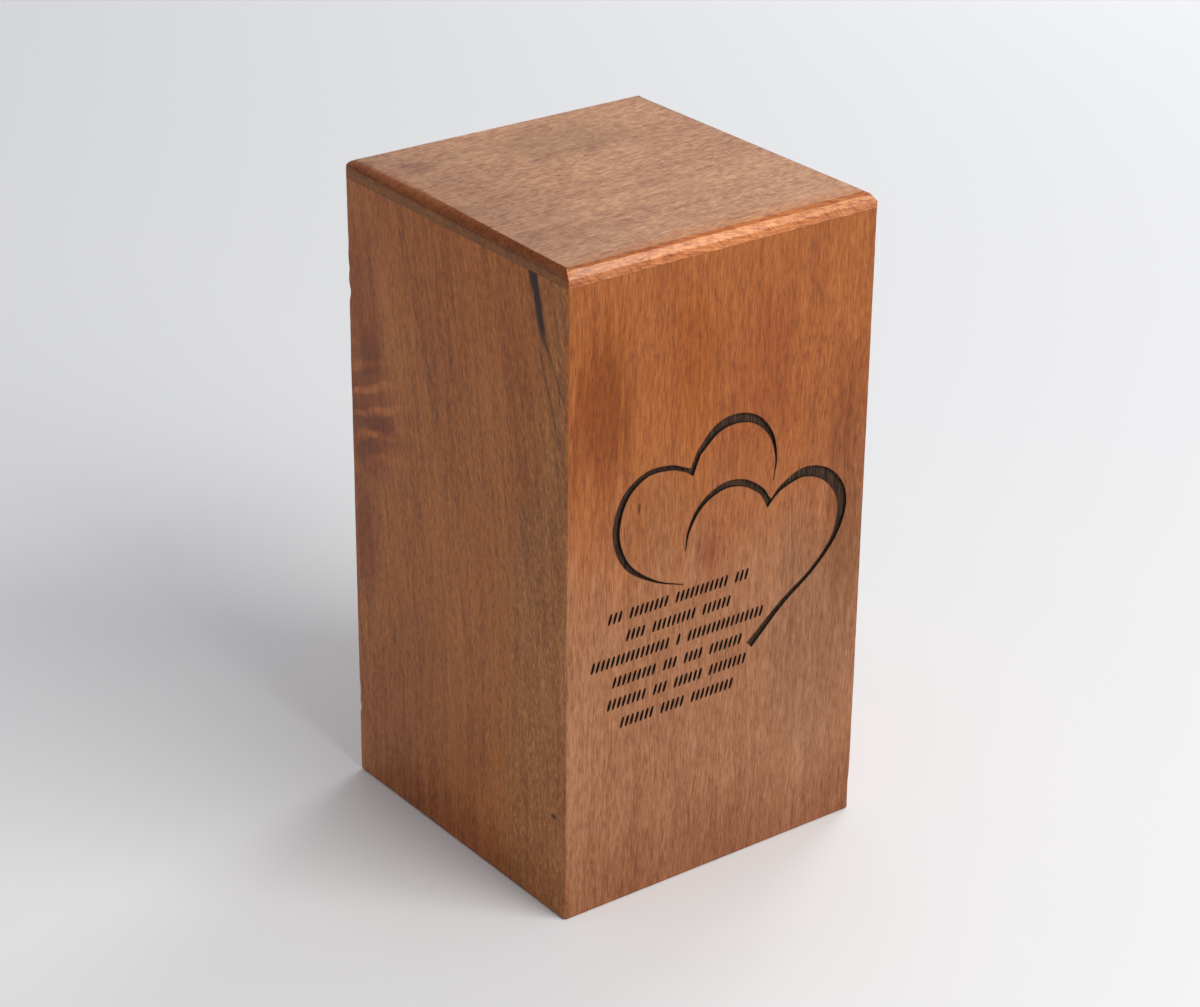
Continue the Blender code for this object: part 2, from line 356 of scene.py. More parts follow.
class Shades:
    """A material's node tree, with short ways to add nodes. Inputs are sockets or plain values."""

    def __init__(self, name):
        self.material = bpy.data.materials.new(name)
        self.material.use_nodes = True
        self.tree = self.material.node_tree
        self.shader = self.tree.nodes["Principled BSDF"]

    def add(self, kind, inputs=(), **settings):
        node = self.tree.nodes.new(kind)
        for setting, value in settings.items():
            setattr(node, setting, value)
        for socket, value in dict(inputs).items():
            self.feed(node.inputs[socket], value)
        return node

    def feed(self, socket, value):
        if isinstance(value, bpy.types.NodeSocket):
            self.tree.links.new(value, socket)
        else:
            socket.default_value = value

    def math(self, operation, a, b=0.0, c=0.0):
        node = self.add("ShaderNodeMath", {0: a, 1: b, 2: c}, operation=operation)
        return node.outputs[0]

    def vector(self, operation, a, b=(0.0, 0.0, 0.0)):
        node = self.add("ShaderNodeVectorMath", {0: a, 1: b}, operation=operation)
        return node.outputs["Value" if operation in ("DOT_PRODUCT", "LENGTH") else "Vector"]

    def join(self, x, y, z):
        return self.add("ShaderNodeCombineXYZ", {"X": x, "Y": y, "Z": z}).outputs[0]

    def split(self, vector):
        node = self.add("ShaderNodeSeparateXYZ", {0: vector})
        return node.outputs[0], node.outputs[1], node.outputs[2]

    def mix(self, share, a, b, blend="MIX"):
        """Colour a, blended with colour b by the share. Inputs 6 and 7 are the node's colours."""
        node = self.add("ShaderNodeMix", data_type="RGBA", blend_type=blend, clamp_factor=True)
        self.feed(node.inputs[0], share)
        self.feed(node.inputs[6], a)
        self.feed(node.inputs[7], b)
        return node.outputs[2]

    def noise(self, vector, size, detail=3.0, roughness=0.5):
        """Noise whose lumps measure size, three lengths in the vector's own unit."""
        stretched = self.vector("MULTIPLY", vector, tuple(1 / length for length in size))
        settings = {"Vector": stretched, "Scale": 1.0, "Detail": detail, "Roughness": roughness}
        return self.add("ShaderNodeTexNoise", settings)

    def step(self, value, low, high, to_low=0.0, to_high=1.0):
        """Rises smoothly from to_low to to_high as the value goes from low to high."""
        inputs = {"Value": value, "From Min": low, "From Max": high, "To Min": to_low, "To Max": to_high}
        node = self.add("ShaderNodeMapRange", inputs, interpolation_type="SMOOTHSTEP")
        return node.outputs[0]

    def ramp(self, value, low, high):
        """Rises evenly from 0 to 1 as the value goes from low to high."""
        node = self.add("ShaderNodeMapRange", {"Value": value, "From Min": low, "From Max": high})
        return node.outputs[0]

    def swing(self, value, amount):
        """The value's departure from a half, times the amount."""
        return self.math("MULTIPLY", self.math("SUBTRACT", value, 0.5), amount)

    def place(self):
        """The point in the piece's own axes, in millimetres."""
        node = self.add("ShaderNodeTexCoord")
        return self.vector("MULTIPLY", node.outputs["Object"], (1000.0, 1000.0, 1000.0))


def grain_frame(shades, place, along, across):
    """The place in axes whose third one runs along the grain."""
    along = Vector(along).normalized()
    across = Vector(across)
    across = (across - along * along.dot(across)).normalized()
    normal = along.cross(across)
    return shades.join(
        shades.vector("DOT_PRODUCT", place, tuple(across)),
        shades.vector("DOT_PRODUCT", place, tuple(normal)),
        shades.vector("DOT_PRODUCT", place, tuple(along)),
    )


def tinted(shades, share, colour, tint):
    """The colour, multiplied by the tint where the share is 1."""
    return shades.mix(share, colour, srgb(*tint), "MULTIPLY")


def patched(shades, colour, place, patches, ragged=0.5, lumps=SOFT_LUMPS):
    """The colour with soft patches, as (centre, reach, tint, strength), whose edges are ragged."""
    edge = shades.swing(shades.noise(place, lumps).outputs["Fac"], ragged * 2)
    for centre, reach, tint, strength in patches:
        scale = tuple(1 / length if length else 0.0 for length in reach)
        offset = shades.vector("SUBTRACT", place, centre)
        distance = shades.vector("LENGTH", shades.vector("MULTIPLY", offset, scale))
        share = shades.step(shades.math("ADD", distance, edge), 0.25, 1.0, strength, 0.0)
        colour = tinted(shades, share, colour, tint)
    return colour


def vein(shades, colour, place, ragged, course):
    """Colours a raggedly edged line that thins and fades out towards its foot."""
    (top_x, top_z), (foot_x, foot_z), half, strength = course
    x, _, z = shades.split(place)
    fall = shades.math("DIVIDE", shades.math("SUBTRACT", top_z, z), top_z - foot_z)
    centre = shades.math("ADD", top_x, shades.math("MULTIPLY", fall, foot_x - top_x))
    aside = shades.math("DIVIDE", shades.math("ABSOLUTE", shades.math("SUBTRACT", x, centre)), half)
    aside = shades.math("ADD", aside, shades.math("MULTIPLY", fall, 0.45))
    share = shades.step(shades.math("ADD", aside, ragged), 0.55, 1.40, strength, 0.0)
    faded = shades.math("MULTIPLY", shades.step(fall, 0.0, 0.06), shades.step(fall, 0.60, 1.0, 1.0, 0.0))
    return shades.mix(shades.math("MULTIPLY", share, faded), colour, srgb(*RESIN_TINT))


def wood(name, dark, middle, light, along=(0, 0, 1), across=(1, 0, 0), seed=(0, 0, 0), figure=None,
         broad=1.0, fine=1.5, length=7.0, streaks=1.0, mottled=1.0, bow=0.0, pores=0.40,
         roughness=0.40, sheen=0.25, finish=None):
    """Open-grained reddish hardwood under a satin coat.

    Broad, fine, streaks and mottled strengthen layers of its tone, and pores is how strongly the
    pores darken it. Length is that of its fibre marks. Bow makes the grain lean more and more with
    the height. Figure and finish add what one board shows.
    """
    shades = Shades(name)
    place = shades.place()
    height = shades.split(place)[2]
    lean = shades.math("MULTIPLY", shades.math("MULTIPLY", height, height), bow)
    bent = shades.vector("ADD", place, shades.join(lean, 0.0, 0.0))
    grain = shades.vector("ADD", grain_frame(shades, bent, along, across), seed)
    warp = shades.noise(grain, WARP_LUMPS, detail=2.0).outputs["Color"]
    sway = shades.vector("SUBTRACT", warp, (0.5, 0.5, 0.5))
    grain = shades.vector("ADD", grain, shades.vector("MULTIPLY", sway, (WARP_REACH, WARP_REACH, 0.0)))
    cloud = shades.noise(grain, CLOUD_LUMPS).outputs["Fac"]
    streak = shades.noise(grain, STREAK_LUMPS, detail=4.0, roughness=0.6).outputs["Fac"]
    fibre = shades.noise(grain, (FIBRE_WIDTH, FIBRE_WIDTH, length), roughness=0.6).outputs["Fac"]
    mottle = shades.noise(grain, MOTTLE_LUMPS, roughness=0.6).outputs["Fac"]
    cells = shades.vector("MULTIPLY", grain, tuple(1 / size for size in PORE_CELLS))
    pore = shades.add("ShaderNodeTexVoronoi", {"Vector": cells, "Scale": 1.0}, feature="F1")
    pore = shades.step(pore.outputs["Distance"], 0.10, 0.32, 1.0, 0.0)
    tone = 0.5
    for layer, amount in (
        (cloud, CLOUD_SHARE * broad),
        (streak, STREAK_SHARE * fine * streaks),
        (fibre, FIBRE_SHARE * fine),
        (mottle, MOTTLE_SHARE * fine * mottled),
    ):
        tone = shades.math("ADD", tone, shades.swing(layer, amount))
    colour = shades.mix(shades.ramp(tone, 0.50, 0.10), srgb(*middle), srgb(*dark))
    colour = shades.mix(shades.ramp(tone, 0.50, 0.90), colour, srgb(*light))
    if figure:
        colour = figure(shades, colour, place, grain)
    colour = tinted(shades, shades.math("MULTIPLY", pore, pores), colour, PORE_TINT)
    raised, sunk = shades.math("MULTIPLY", fibre, 0.5), shades.math("MULTIPLY", pore, 0.8)
    relief = shades.math("SUBTRACT", raised, sunk)
    rough = shades.math("ADD", roughness, shades.swing(fibre, 0.22))
    rough = shades.math("ADD", rough, shades.math("MULTIPLY", pore, 0.15))
    if finish:
        colour, rough = finish(shades, colour, rough, place, grain)
    bump = shades.add("ShaderNodeBump", {"Height": relief, "Strength": 0.35, "Distance": GRAIN_BUMP})
    shades.feed(shades.shader.inputs["Base Color"], colour)
    shades.feed(shades.shader.inputs["Roughness"], rough)
    shades.feed(shades.shader.inputs["Specular IOR Level"], sheen)
    shades.feed(shades.shader.inputs["Normal"], bump.outputs[0])
    return shades.material


def front_figure(shades, colour, place, grain):
    """Orange above and pinker below, with soft patches, streaky dark ones and a small mark."""
    wave = shades.swing(shades.noise(grain, (12, 12, 60)).outputs["Fac"], FRONT_ORANGE_WAVE)
    level = shades.math("ADD", shades.split(place)[2], wave)
    colour = tinted(shades, shades.step(level, *FRONT_ORANGE), colour, FRONT_ORANGE_TINT)
    colour = patched(shades, colour, place, FRONT_PATCHES)
    colour = patched(shades, colour, place, FRONT_DARK_PATCHES, 0.6, STREAKY_LUMPS)
    return patched(shades, colour, place, FRONT_MARK, 0.2)


def scorch(shades, colour, rough, place, grain):
    """Blackens the grooves and their rims. Hearts' floors are brown, with the grain standing out."""
    burnt = shades.add("ShaderNodeAttribute", attribute_name="scorch").outputs["Fac"]
    floor = shades.add("ShaderNodeAttribute", attribute_name="groove_floor").outputs["Fac"]
    lines = shades.noise(grain, (0.55, 0.55, 16.0), roughness=0.6).outputs["Fac"]
    brown = shades.mix(shades.step(lines, 0.38, 0.66), srgb(*DARK_BROWN), srgb(*LIGHT_BROWN))
    char = shades.mix(floor, srgb(*CHAR), brown)
    colour = shades.mix(burnt, colour, char)
    return colour, shades.math("MAXIMUM", rough, burnt)


def sapwood(shades, colour, place, grain):
    """A speckled grey-green zone by the front edge, wider below."""
    x, _, z = shades.split(place)
    stray = shades.swing(shades.noise(place, (20, 20, 60)).outputs["Fac"], SAPWOOD_STRAY)
    edge = shades.step(z, *SAPWOOD_EDGE_HEIGHTS, *SAPWOOD_EDGE)
    past_edge = shades.math("ADD", shades.math("SUBTRACT", x, edge), stray)
    share = shades.step(past_edge, -8.0, 12.0, 0.0, 0.9)
    speckle = shades.noise(grain, (1.1, 1.1, 2.6), detail=4.0, roughness=0.7).outputs["Fac"]
    light = shades.step(speckle, 0.36, 0.64)
    tint = shades.mix(light, srgb(*SAPWOOD_DARK_TINT), srgb(*SAPWOOD_LIGHT_TINT))
    return shades.mix(share, colour, tint, "MULTIPLY")


def curl(shades, colour, place):
    """Thin light bands that rise from the rear edge, between soft dark ones."""
    x, _, z = shades.split(place)
    waver = shades.swing(shades.noise(place, (26, 26, 20), detail=2.0).outputs["Fac"], CURL_WAVER)
    level = shades.math("SUBTRACT", z, shades.math("MULTIPLY", x, CURL_RISE))
    above = shades.math("SUBTRACT", shades.math("ADD", level, waver), CURL_LIGHT_BAND)
    turn = shades.math("MULTIPLY", above, 2 * math.pi / CURL_SPACING)
    bands = shades.step(shades.math("COSINE", turn), -0.2, 0.98)
    offset = shades.vector("SUBTRACT", place, CURL_CENTRE)
    flat = shades.vector("MULTIPLY", offset, (1 / CURL_REACH, 0.0, 1 / CURL_REACH))
    share = shades.step(shades.vector("LENGTH", flat), 0.20, 1.0, 0.75, 0.0)
    tint = shades.mix(bands, srgb(*CURL_DARK_TINT), srgb(*CURL_LIGHT_TINT))
    colour = shades.mix(share, colour, tint, "MULTIPLY")
    return patched(shades, colour, place, CURL_SMUDGES, 0.6, SMUDGE_LUMPS)


def left_figure(shades, colour, place, grain):
    """Sapwood, the curl, soft patches and specks, and resin drawn out towards the front edge."""
    colour = sapwood(shades, colour, place, grain)
    colour = curl(shades, colour, place)
    colour = patched(shades, colour, place, LEFT_SPECKS, 0.2)
    colour = patched(shades, colour, place, LEFT_PATCHES)
    ragged = shades.swing(shades.noise(grain, (1.0, 1.0, 9.0)).outputs["Fac"], 0.9)
    for course in RESIN_VEINS:
        colour = vein(shades, colour, place, ragged, course)
    return colour


def end_grain(shades, colour, place, sideways):
    """Duller on the lid's right side; on its left, redder above and browner on the strip."""
    _, y, z = shades.split(place)
    colour = tinted(shades, shades.step(sideways, 0.05, 0.50), colour, LID_RIGHT_TINT)
    strip_top = (WALL_HEIGHT + sum(LEFT_STRIP) / 2) / MM
    slope = (LEFT_STRIP[0] - LEFT_STRIP[1]) / DEPTH
    level = shades.math("SUBTRACT", z, shades.math("MULTIPLY", y, slope))
    strip = shades.step(level, strip_top + 0.2, strip_top - 0.3)
    left = shades.step(sideways, -0.03, -0.30)
    tint = shades.mix(strip, srgb(*LID_LEFT_TINT), srgb(*LID_LEFT_STRIP_TINT))
    colour = shades.mix(left, colour, tint, "MULTIPLY")
    off_line = shades.math("ABSOLUTE", shades.math("SUBTRACT", level, strip_top))
    line = shades.step(off_line, 0.10, 0.40, 0.60, 0.0)
    return tinted(shades, shades.math("MULTIPLY", line, left), colour, LID_LEFT_LINE_TINT)


def front_edge(shades, colour, place, backwards):
    """A painted highlight on the lid's front edge, slanting grain at the strip, and a browner quirk."""
    x, _, z = shades.split(place)
    forward = shades.step(backwards, -0.30, -0.75)
    strip_top = (WALL_HEIGHT + LID_STRIP) / MM
    # The bevel tint is a painted highlight on all that faces forward, fading towards the right
    lit = shades.math("MULTIPLY", forward, shades.step(x, -30.0, 70.0, 1.0, 0.3))
    colour = tinted(shades, lit, colour, LID_BEVEL_HIGHLIGHT_TINT)
    strip = shades.step(z, strip_top + 0.15, strip_top - 0.15)
    colour = tinted(shades, shades.math("MULTIPLY", strip, forward), colour, LID_STRIP_TINT)
    slant = shades.math("ADD", x, shades.math("MULTIPLY", z, 0.9))
    strands = shades.join(slant, 0.0, shades.math("MULTIPLY", z, 0.25))
    feather = shades.noise(strands, (1.0, 1.0, 1.2)).outputs["Fac"]
    feather = shades.step(feather, 0.48, 0.66, 0.0, 0.55)
    near_strip = shades.math("MULTIPLY", forward, shades.step(z, strip_top + 1.4, strip_top))
    colour = tinted(shades, shades.math("MULTIPLY", feather, near_strip), colour, LID_SLANT_TINT)
    quirk_foot = (TOP - sum(FRONT_QUIRK) / 2) / MM
    slope = (FRONT_QUIRK[1] - FRONT_QUIRK[0]) / WIDTH
    level = shades.math("ADD", z, shades.math("MULTIPLY", x, slope))
    quirk = shades.step(level, quirk_foot - 0.15, quirk_foot + 0.15)
    return tinted(shades, shades.math("MULTIPLY", quirk, forward), colour, LID_QUIRK_TINT)


def lid_figure(shades, colour, place, grain):
    """Ripples, soft patches, an orange cast in front, painted shade at the left, and the lid's sides."""
    ripple = shades.noise(grain, (6.0, 6.0, 1.5), detail=2.0).outputs["Fac"]
    colour = tinted(shades, shades.step(ripple, 0.30, 0.70, 0.22, 0.0), colour, LID_RIPPLE_TINT)
    colour = patched(shades, colour, place, LID_PATCHES)
    # The second of these patches darkens the left part of the lid: painted shade
    colour = patched(shades, colour, place, LID_EDGE_CAST_AND_SHADE, 0.3)
    facing = shades.add("ShaderNodeNewGeometry").outputs["Normal"]
    sideways, backwards, _ = shades.split(facing)
    colour = end_grain(shades, colour, place, sideways)
    return front_edge(shades, colour, place, backwards)


def lid_finish(shades, colour, rough, place, grain):
    """The round-over is smoother than the flat top and the strip, and less so on the right."""
    x, _, z = shades.split(place)
    strip_top = (WALL_HEIGHT + LID_STRIP) / MM
    top = TOP / MM
    above_strip = shades.step(z, strip_top - 0.2, strip_top + 0.6)
    below_top = shades.step(z, top - 0.1, top - 0.8)
    routed = shades.math("MULTIPLY", above_strip, below_top)
    routed = shades.math("MULTIPLY", routed, shades.step(x, -10.0, 60.0, 1.0, 0.4))
    return colour, shades.math("SUBTRACT", rough, shades.math("MULTIPLY", routed, 0.12))


def piece(name, mesh, material, node, matrix=None):
    """Makes a mesh the named piece of the box, in the place of its node."""
    mesh.materials.append(material)
    item = bpy.data.objects.new(name, mesh)
    bpy.context.scene.collection.objects.link(item)
    if matrix:
        item.matrix_world = matrix
    mesh.shade_smooth()
    mesh.set_sharp_from_angle(angle=math.radians(SHARP_DEG))
    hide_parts(node)
    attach(item, "root")
    return item


def arris_radius(corner, height):
    """How far an arris is worn at a height: eased all along, and deeper in its nicks.

    Each corner has lines of its own through the noise.
    """
    wave = noise.noise(Vector((corner * 11.7, 0.0, height / ARRIS_WAVE)))
    ripple = noise.noise(Vector((corner * 3.1, 5.0, height / ARRIS_WAVE * ARRIS_RIPPLES)))
    radius = ARRIS_RADIUS * (1 + ARRIS_VARIATION * wave + ARRIS_VARIATION * 0.5 * ripple)
    for nicked, level, half_length, extra in ARRIS_NICKS:
        if nicked == corner:
            radius += extra * math.exp(-((height - level) / half_length) ** 2)
    return radius


def foot_setback(height):
    """How far the eased foot stands back from the outer face."""
    if height >= FOOT_EASE:
        return 0.0
    rise = FOOT_EASE - height
    return FOOT_EASE - math.sqrt(max(FOOT_EASE ** 2 - rise ** 2, 0.0))


def ring_levels():
    """Heights of a board's rings, with the depth of its inner face at each."""
    slot_low = BASE_LOW.z - CONTACT_GAP
    slot_high = BASE_HIGH.z + CONTACT_GAP
    groove_face = WALL_THICKNESS - GROOVE_REACH
    top = WALL_HEIGHT - JOINT
    levels = [(FOOT_EASE * (1 - math.cos(math.pi / 2 * i / FOOT_EASE_STEPS)), WALL_THICKNESS)
              for i in range(FOOT_EASE_STEPS + 1)]
    levels += [(slot_low, WALL_THICKNESS), (slot_low + JOINT, groove_face)]
    levels += [(slot_high - JOINT, groove_face), (slot_high, WALL_THICKNESS)]
    count = round((top - slot_high) / RING_PITCH)
    levels += [(slot_high + (top - slot_high) * i / count, WALL_THICKNESS) for i in range(1, count + 1)]
    return levels


def board_ring(length, left_corner, right_corner, height, inner):
    """One ring of a board, from its inner left corner over the outer face to the inner right one."""
    back = foot_setback(height)
    left_side, right_side = [], []
    for side, corner, points in ((-1, left_corner, left_side), (1, right_corner, right_side)):
        radius = arris_radius(corner, height)
        end = length / 2 - back
        for i in range(ARRIS_ARC_STEPS + 1):
            angle = math.pi / 4 * i / ARRIS_ARC_STEPS
            shift = radius * (1 - math.sin(angle))
            inward = back + radius * (1 - math.cos(angle))
            points.append(Vector((side * (end - shift - JOINT / 2), inward, height)))
    inner_left = Vector((-(length / 2 - inner - JOINT / 2), inner, height))
    inner_right = Vector((length / 2 - inner - JOINT / 2, inner, height))
    return [inner_left, *left_side[::-1], *right_side, inner_right]


def board_mesh(name, length, left_corner, right_corner, relief=None):
    """A mitred board. A relief, if given, takes the place of the flat outer face above the foot."""
    bm = bmesh.new()
    levels = ring_levels()
    rings = [board_ring(length, left_corner, right_corner, height, inner) for height, inner in levels]
    loops = [[bm.verts.new(point) for point in ring] for ring in rings]
    face_start = ARRIS_ARC_STEPS + 1
    open_from = FOOT_EASE_STEPS
    for level, (lower, upper) in enumerate(zip(loops, loops[1:])):
        for i in range(len(lower)):
            if relief and i == face_start and level >= open_from:
                continue
            after = (i + 1) % len(lower)
            bm.faces.new((lower[i], lower[after], upper[after], upper[i]))
    bm.faces.new(reversed(loops[0]))
    bm.faces.new(loops[-1])
    if relief:
        left = [loop[face_start].co for loop in loops[open_from:]]
        right = [loop[face_start + 1].co for loop in loops[open_from:]]
        relief(bm, left, right)
        bmesh.ops.remove_doubles(bm, verts=bm.verts, dist=WELD)
    bmesh.ops.recalc_face_normals(bm, faces=bm.faces)
    mesh = bpy.data.meshes.new(name)
    bm.to_mesh(mesh)
    bm.free()
    return mesh


def on_front(across, up):
    """Engraving hundredths to (x, z) on the front board's outer face, in millimetres."""
    unit = (WIDTH - ENGRAVING_LEFT_MARGIN - ENGRAVING_RIGHT_MARGIN) / 100
    left = ENGRAVING_LEFT_MARGIN - WIDTH / 2
    foot = WALL_HEIGHT - ENGRAVING_DROP - HEARTS_TOP * unit
    return Vector(((left + across * unit) / MM, (foot + up * unit) / MM))


def smooth_curve(points, steps):
    """A smooth curve through the points, with their widths, as evenly stepped samples."""
    points = [Vector(point) for point in points]
    before = 2 * points[0] - points[1]
    after = 2 * points[-1] - points[-2]
    padded = [before, *points, after]
    samples = []
    for a, b, c, d in zip(padded, padded[1:], padded[2:], padded[3:]):
        for step in range(steps):
            t = step / steps
            samples.append(0.5 * (2 * b + (c - a) * t + (2 * a - 5 * b + 4 * c - d) * t * t
                                  + (3 * b - 3 * c + d - a) * t ** 3))
    samples.append(points[-1])
    return samples


def groove_sides(samples):
    """The left and the right side of a groove, going along it."""
    lefts, rights = [], []
    for i, sample in enumerate(samples):
        behind = samples[max(i - 1, 0)]
        ahead = samples[min(i + 1, len(samples) - 1)]
        along = Vector((ahead.x - behind.x, ahead.y - behind.y)).normalized()
        across = Vector((-along.y, along.x)) * sample.z / 2
        centre = Vector((sample.x, sample.y))
        lefts.append(centre + across)
        rights.append(centre - across)
    return lefts, rights


def heart_outline(first_lobe, cusp, second_lobe):
    """A closed outline around both lobes; a heart's outside is on its left, going along."""
    outer_corner, inner_corner = (Vector(corner) for corner in cusp)
    first_left, first_right = groove_sides(smooth_curve(first_lobe, HEART_STEPS))
    second_left, second_right = groove_sides(smooth_curve(second_lobe, HEART_STEPS))
    outside = [*first_left, outer_corner, *second_left]
    inside = [*first_right, inner_corner, *second_right]
    return [on_front(*point) for point in outside + inside[::-1]]


def stroke_outline(left, baseline):
    """A slanted stroke, fullest in its middle."""
    samples = []
    for i in range(STROKE_SAMPLES):
        share = i / (STROKE_SAMPLES - 1)
        level = STROKE_HEIGHT * share
        width = STROKE_WIDTH * (STROKE_END + STROKE_SWELL * math.sin(math.pi * share))
        samples.append(Vector((left + STROKE_WIDTH / 2 + level * STROKE_SLANT, baseline + level, width)))
    lefts, rights = groove_sides(samples)
    return [on_front(*point) for point in rights + lefts[::-1]]


def row_outlines(groups, baseline):
    """Every stroke of one row, centred about the rows' common centre."""
    slots = sum(groups) + GROUP_GAP * (len(groups) - 1)
    left = ROW_CENTRE - slots * STROKE_PITCH / 2
    outlines = []
    for group in groups:
        for _ in range(group):
            outlines.append(stroke_outline(left, baseline))
            left += STROKE_PITCH
        left += GROUP_GAP * STROKE_PITCH
    return outlines


def densify(outline, pitch):
    """The same closed outline with points at most a pitch apart."""
    points = []
    for start, end in zip(outline, outline[1:] + outline[:1]):
        count = max(1, math.ceil((end - start).length / pitch))
        points += [start.lerp(end, i / count) for i in range(count)]
    return points


def moved_out(outline, distance):
    """The points of an anticlockwise closed outline, each moved outwards by the distance."""
    moved = []
    for before, point, after in zip(outline[-1:] + outline[:-1], outline, outline[1:] + outline[:1]):
        along = (point - before).normalized() + (after - point).normalized()
        moved.append(point + Vector((along.y, -along.x)).normalized() * distance)
    return moved


def anticlockwise(outline):
    """The outline, turned round where it runs clockwise."""
    area = sum(a.x * b.y - b.x * a.y for a, b in zip(outline, outline[1:] + outline[:1]))
    return outline if area > 0 else outline[::-1]


def inside(outline, points):
    """Which points, in an array of (x, y), lie inside a closed outline."""
    corners = np.array([tuple(corner) for corner in outline])
    result = np.zeros(len(points), bool)
    low, high = corners.min(0), corners.max(0)
    near = np.where(((points >= low) & (points <= high)).all(1))[0]
    x, y = points[near, 0], points[near, 1]
    crossings = np.zeros(len(near), int)
    for (ax, ay), (bx, by) in zip(corners, np.roll(corners, -1, axis=0)):
        spans = (ay > y) != (by > y)
        if ay != by:
            crossings += spans & (x < (bx - ax) * (y - ay) / (by - ay) + ax)
    result[near] = crossings % 2 == 1
    return result


def inside_any(outlines, points):
    """Which points lie inside any of the outlines."""
    result = np.zeros(len(points), bool)
    for outline in outlines:
        result |= inside(outline, points)
    return result


def distances(outlines, points):
    """Each point's distance to the nearest outline, in millimetres."""
    samples = [sample for outline in outlines for sample in densify(outline, DISTANCE_PITCH_MM)]
    tree = kdtree.KDTree(len(samples))
    for i, sample in enumerate(samples):
        tree.insert((sample.x, sample.y, 0.0), i)
    tree.balance()
    return [tree.find((point.x, point.y, 0.0))[2] for point in points]


def triangulated(border, outlines):
    """(points, faces) that fill the border, with the walls' feet and the rims along the outlines."""
    points, edges = [], []
    for outline in [border, *outlines]:
        start, count = len(points), len(outline)
        points.extend(outline)
        edges.extend((start + i, start + (i + 1) % count) for i in range(count))
        if outline is not border:
            for reach in (-WALL_RUN_MM, *RIM_MM):
                points.extend(moved_out(outline, reach))
    filled, merge_distance = 1, 1e-4
    points, _, faces, *_ = delaunay_2d_cdt(points, edges, [], filled, merge_distance, False)
    return points, faces


def engrave(bm, left, right):
    """Fills the opening between two columns of points with the engraved face and its scorching."""
    hearts = [
        heart_outline(LEFT_HEART_FIRST_LOBE, LEFT_HEART_CUSP, LEFT_HEART_SECOND_LOBE),
        heart_outline(RIGHT_HEART_FIRST_LOBE, RIGHT_HEART_CUSP, RIGHT_HEART_SECOND_LOBE),
    ]
    strokes = []
    for row, groups in enumerate(ROWS):
        strokes += row_outlines(groups, ROW_PITCH * (len(ROWS) - 1 - row))
    border = [Vector((point.x / MM, point.z / MM)) for point in left[::-1] + right]
    outlines = [densify(anticlockwise(outline), OUTLINE_PITCH_MM) for outline in hearts + strokes]
    points, faces = triangulated(border, outlines)
    flat = np.array([tuple(point) for point in points])
    in_heart = inside_any(outlines[:len(hearts)], flat)
    in_stroke = inside_any(outlines[len(hearts):], flat)
    distance = distances(outlines, points)
    scorch_layer = bm.verts.layers.float.new("scorch")
    floor_layer = bm.verts.layers.float.new("groove_floor")
    made = []
    for i, point in enumerate(points):
        cut = in_heart[i] or in_stroke[i]
        sunk = min(distance[i] / WALL_FOOT_MM, 1.0) if cut else 0.0
        depth = (HEART_DEPTH if in_heart[i] else STROKE_DEPTH) * sunk
        vert = bm.verts.new((point.x * MM, depth, point.y * MM))
        if cut:
            vert[scorch_layer] = 1.0
            vert[floor_layer] = (HEART_FLOOR_BROWN if in_heart[i] else 0.0) * sunk
        else:
            vert[scorch_layer] = float(np.interp(distance[i], (EDGE_MM, *RIM_MM), (1.0, *RIM_SCORCH)))
        made.append(vert)
    for face in faces:
        bm.faces.new([made[i] for i in face])


def between(pair, share):
    """The value that far from a pair's first value to its second."""
    return pair[0] + (pair[1] - pair[0]) * share


def lid_turn(side, share):
    """(turn, height of the quirk, height of the strip, how straight the round-over is) along a side.

    Side 0 is the front, then right, back and left, each going anticlockwise from above; share
    runs from 0 to 1 along it. The left side was run unevenly: wide and round at the back, narrow
    and nearly a bevel in front.
    """
    if side == 0:
        return FRONT_TURN, between(FRONT_QUIRK, share), LID_STRIP, FRONT_BEVEL
    if side == 1:
        return RIGHT_TURN, PLAIN_QUIRK, RIGHT_STRIP, RIGHT_BEVEL
    if side == 2:
        return BACK_TURN, PLAIN_QUIRK, LID_STRIP, 0.0
    turn = between(LEFT_TURN[::-1], (1 - share) ** LEFT_TURN_POWER)
    return turn, LEFT_QUIRK, between(LEFT_STRIP, share), between(LEFT_BEVEL, share)


def lid_profile(side, share):
    """(inset, height) from the foot of the strip to the edge of the flat top."""
    turn, quirk, strip, bevel = lid_turn(side, share)
    low = WALL_HEIGHT + strip
    high = TOP - quirk
    points = [(0.0, WALL_HEIGHT + JOINT), (0.0, WALL_HEIGHT + strip * 0.5)]
    for step in range(LID_ROUND_STEPS + 1):
        straight = step / LID_ROUND_STEPS
        angle = math.pi / 2 * straight
        inward = between((1 - math.cos(angle), straight), bevel)
        upward = between((math.sin(angle), straight), bevel)
        points.append((turn * inward, low + (high - low) * upward))
    points.append((turn + QUIRK_BATTER / 2, high + quirk / 2))
    points.append((turn + QUIRK_BATTER, TOP))
    return points


def lid_corner(side):
    """The corner's direction at the start of a side, as signs of x and y."""
    return ((-1, -1), (1, -1), (1, 1), (-1, 1))[side]


